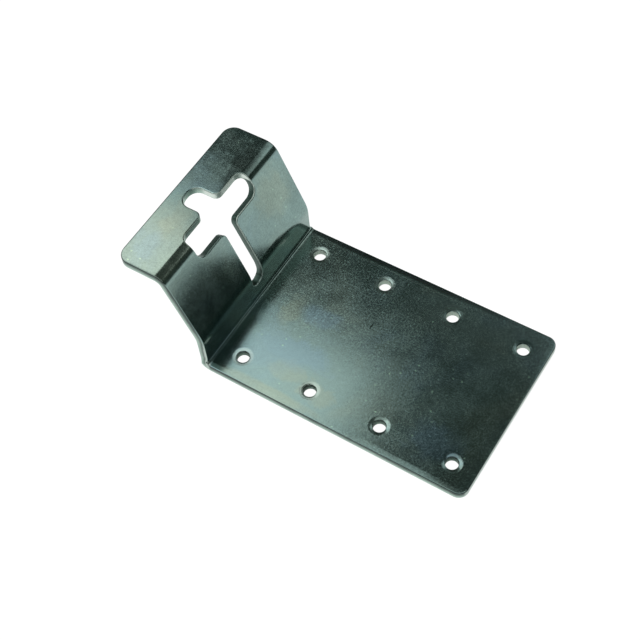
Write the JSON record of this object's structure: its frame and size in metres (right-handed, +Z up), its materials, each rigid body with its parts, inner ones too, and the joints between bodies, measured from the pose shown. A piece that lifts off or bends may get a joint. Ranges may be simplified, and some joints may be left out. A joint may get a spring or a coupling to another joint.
{
  "type": "stamped metal bracket",
  "caption": "Folded sheet-steel bracket: flat screwed base, leaning upright and a short top lip, with a cross-shaped keyhole across the top fold and a slot down the wall.",
  "frame": {"origin": "centre of the screw-hole pattern on the underside of the base", "axes": "+X along the base to its free end, +Y across the bracket, +Z up from the base towards the lip"},
  "size_m": [0.1431, 0.075, 0.0485],
  "materials": {
    "zinc_steel": "blue-white zinc plating, satin, slightly mottled"
  },
  "bodies": {
    "root": {"bracket": "zinc_steel"}
  },
  "joints": []
}
